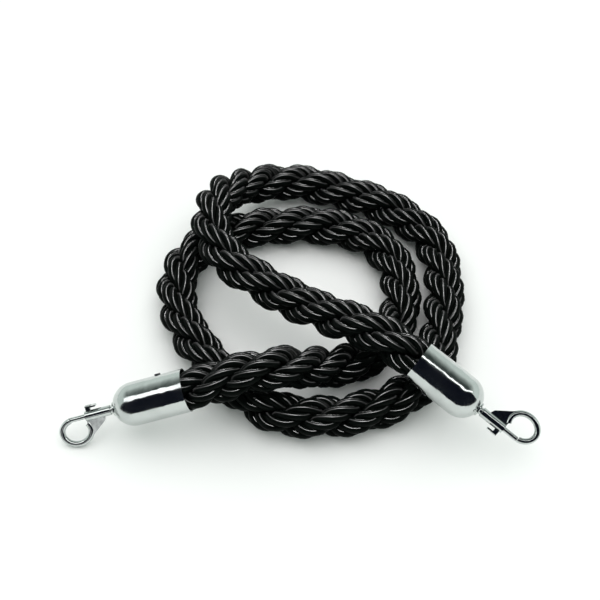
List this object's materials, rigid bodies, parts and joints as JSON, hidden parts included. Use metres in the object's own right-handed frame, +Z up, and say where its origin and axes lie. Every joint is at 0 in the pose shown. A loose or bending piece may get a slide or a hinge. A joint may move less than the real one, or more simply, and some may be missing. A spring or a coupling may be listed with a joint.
{
  "type": "barrier rope",
  "caption": "Coiled black twisted satin barrier rope, with a chrome end cap and a swivelling sprung bolt-snap hook on each end",
  "frame": {"origin": "On the ground that the rope lies on, under the middle of the box around the two fittings (caps and hooks).", "axes": "+Z up; +X from the left hook to the right hook; +Y away from the fittings, towards the far side of the two loops."},
  "size_m": [0.3369, 0.2807, 0.0733],
  "materials": {
    "rope_satin": "black satin yarn, three strands",
    "bound_end": "glued and bound",
    "cap_chrome": "polished",
    "hook_chrome": "polished casting",
    "bolt_chrome": "polished",
    "screw_steel": "polished",
    "swivel_steel": "plain",
    "spring_steel": "plain"
  },
  "bodies": {
    "rope_and_caps": {"rope": "rope_satin", "left_end_cap": "cap_chrome", "left_cap_screw": "screw_steel", "left_rope_end": "bound_end", "left_nose_collar": "cap_chrome", "left_swivel_washer": "swivel_steel", "right_end_cap": "cap_chrome", "right_cap_screw": "screw_steel", "right_rope_end": "bound_end", "right_nose_collar": "cap_chrome", "right_swivel_washer": "swivel_steel"},
    "left_hook": {"left_hook_frame": "hook_chrome", "left_swivel_stud": "swivel_steel", "left_swivel_nut": "swivel_steel", "left_bolt_spring": "spring_steel"},
    "left_bolt_slider": {"left_bolt": "bolt_chrome", "left_thumb_tab": "bolt_chrome"},
    "right_hook": {"right_hook_frame": "hook_chrome", "right_swivel_stud": "swivel_steel", "right_swivel_nut": "swivel_steel", "right_bolt_spring": "spring_steel"},
    "right_bolt_slider": {"right_bolt": "bolt_chrome", "right_thumb_tab": "bolt_chrome"}
  },
  "joints": [
    {"name": "left_swivel", "type": "hinge", "parent": "rope_and_caps", "child": "left_hook", "pos_m": [-0.12932, -0.00482, 0.02435], "axis": [-0.96, -0.1252, -0.2504], "continuous": true},
    {"name": "left_bolt_slide", "type": "slide", "parent": "left_hook", "child": "left_bolt_slider", "axis": [0.96, 0.1252, 0.2504], "range_m": [0, 0.0075], "stiffness_N_per_m": 300, "springref_m": -0.005, "deforming": ["left_bolt_spring"]},
    {"name": "right_swivel", "type": "hinge", "parent": "rope_and_caps", "child": "right_hook", "pos_m": [0.12682, -0.01174, 0.03334], "axis": [0.7766, -0.5457, -0.3148], "continuous": true},
    {"name": "right_bolt_slide", "type": "slide", "parent": "right_hook", "child": "right_bolt_slider", "axis": [-0.7766, 0.5457, 0.3148], "range_m": [0, 0.0075], "stiffness_N_per_m": 300, "springref_m": -0.005, "deforming": ["right_bolt_spring"]}
  ]
}
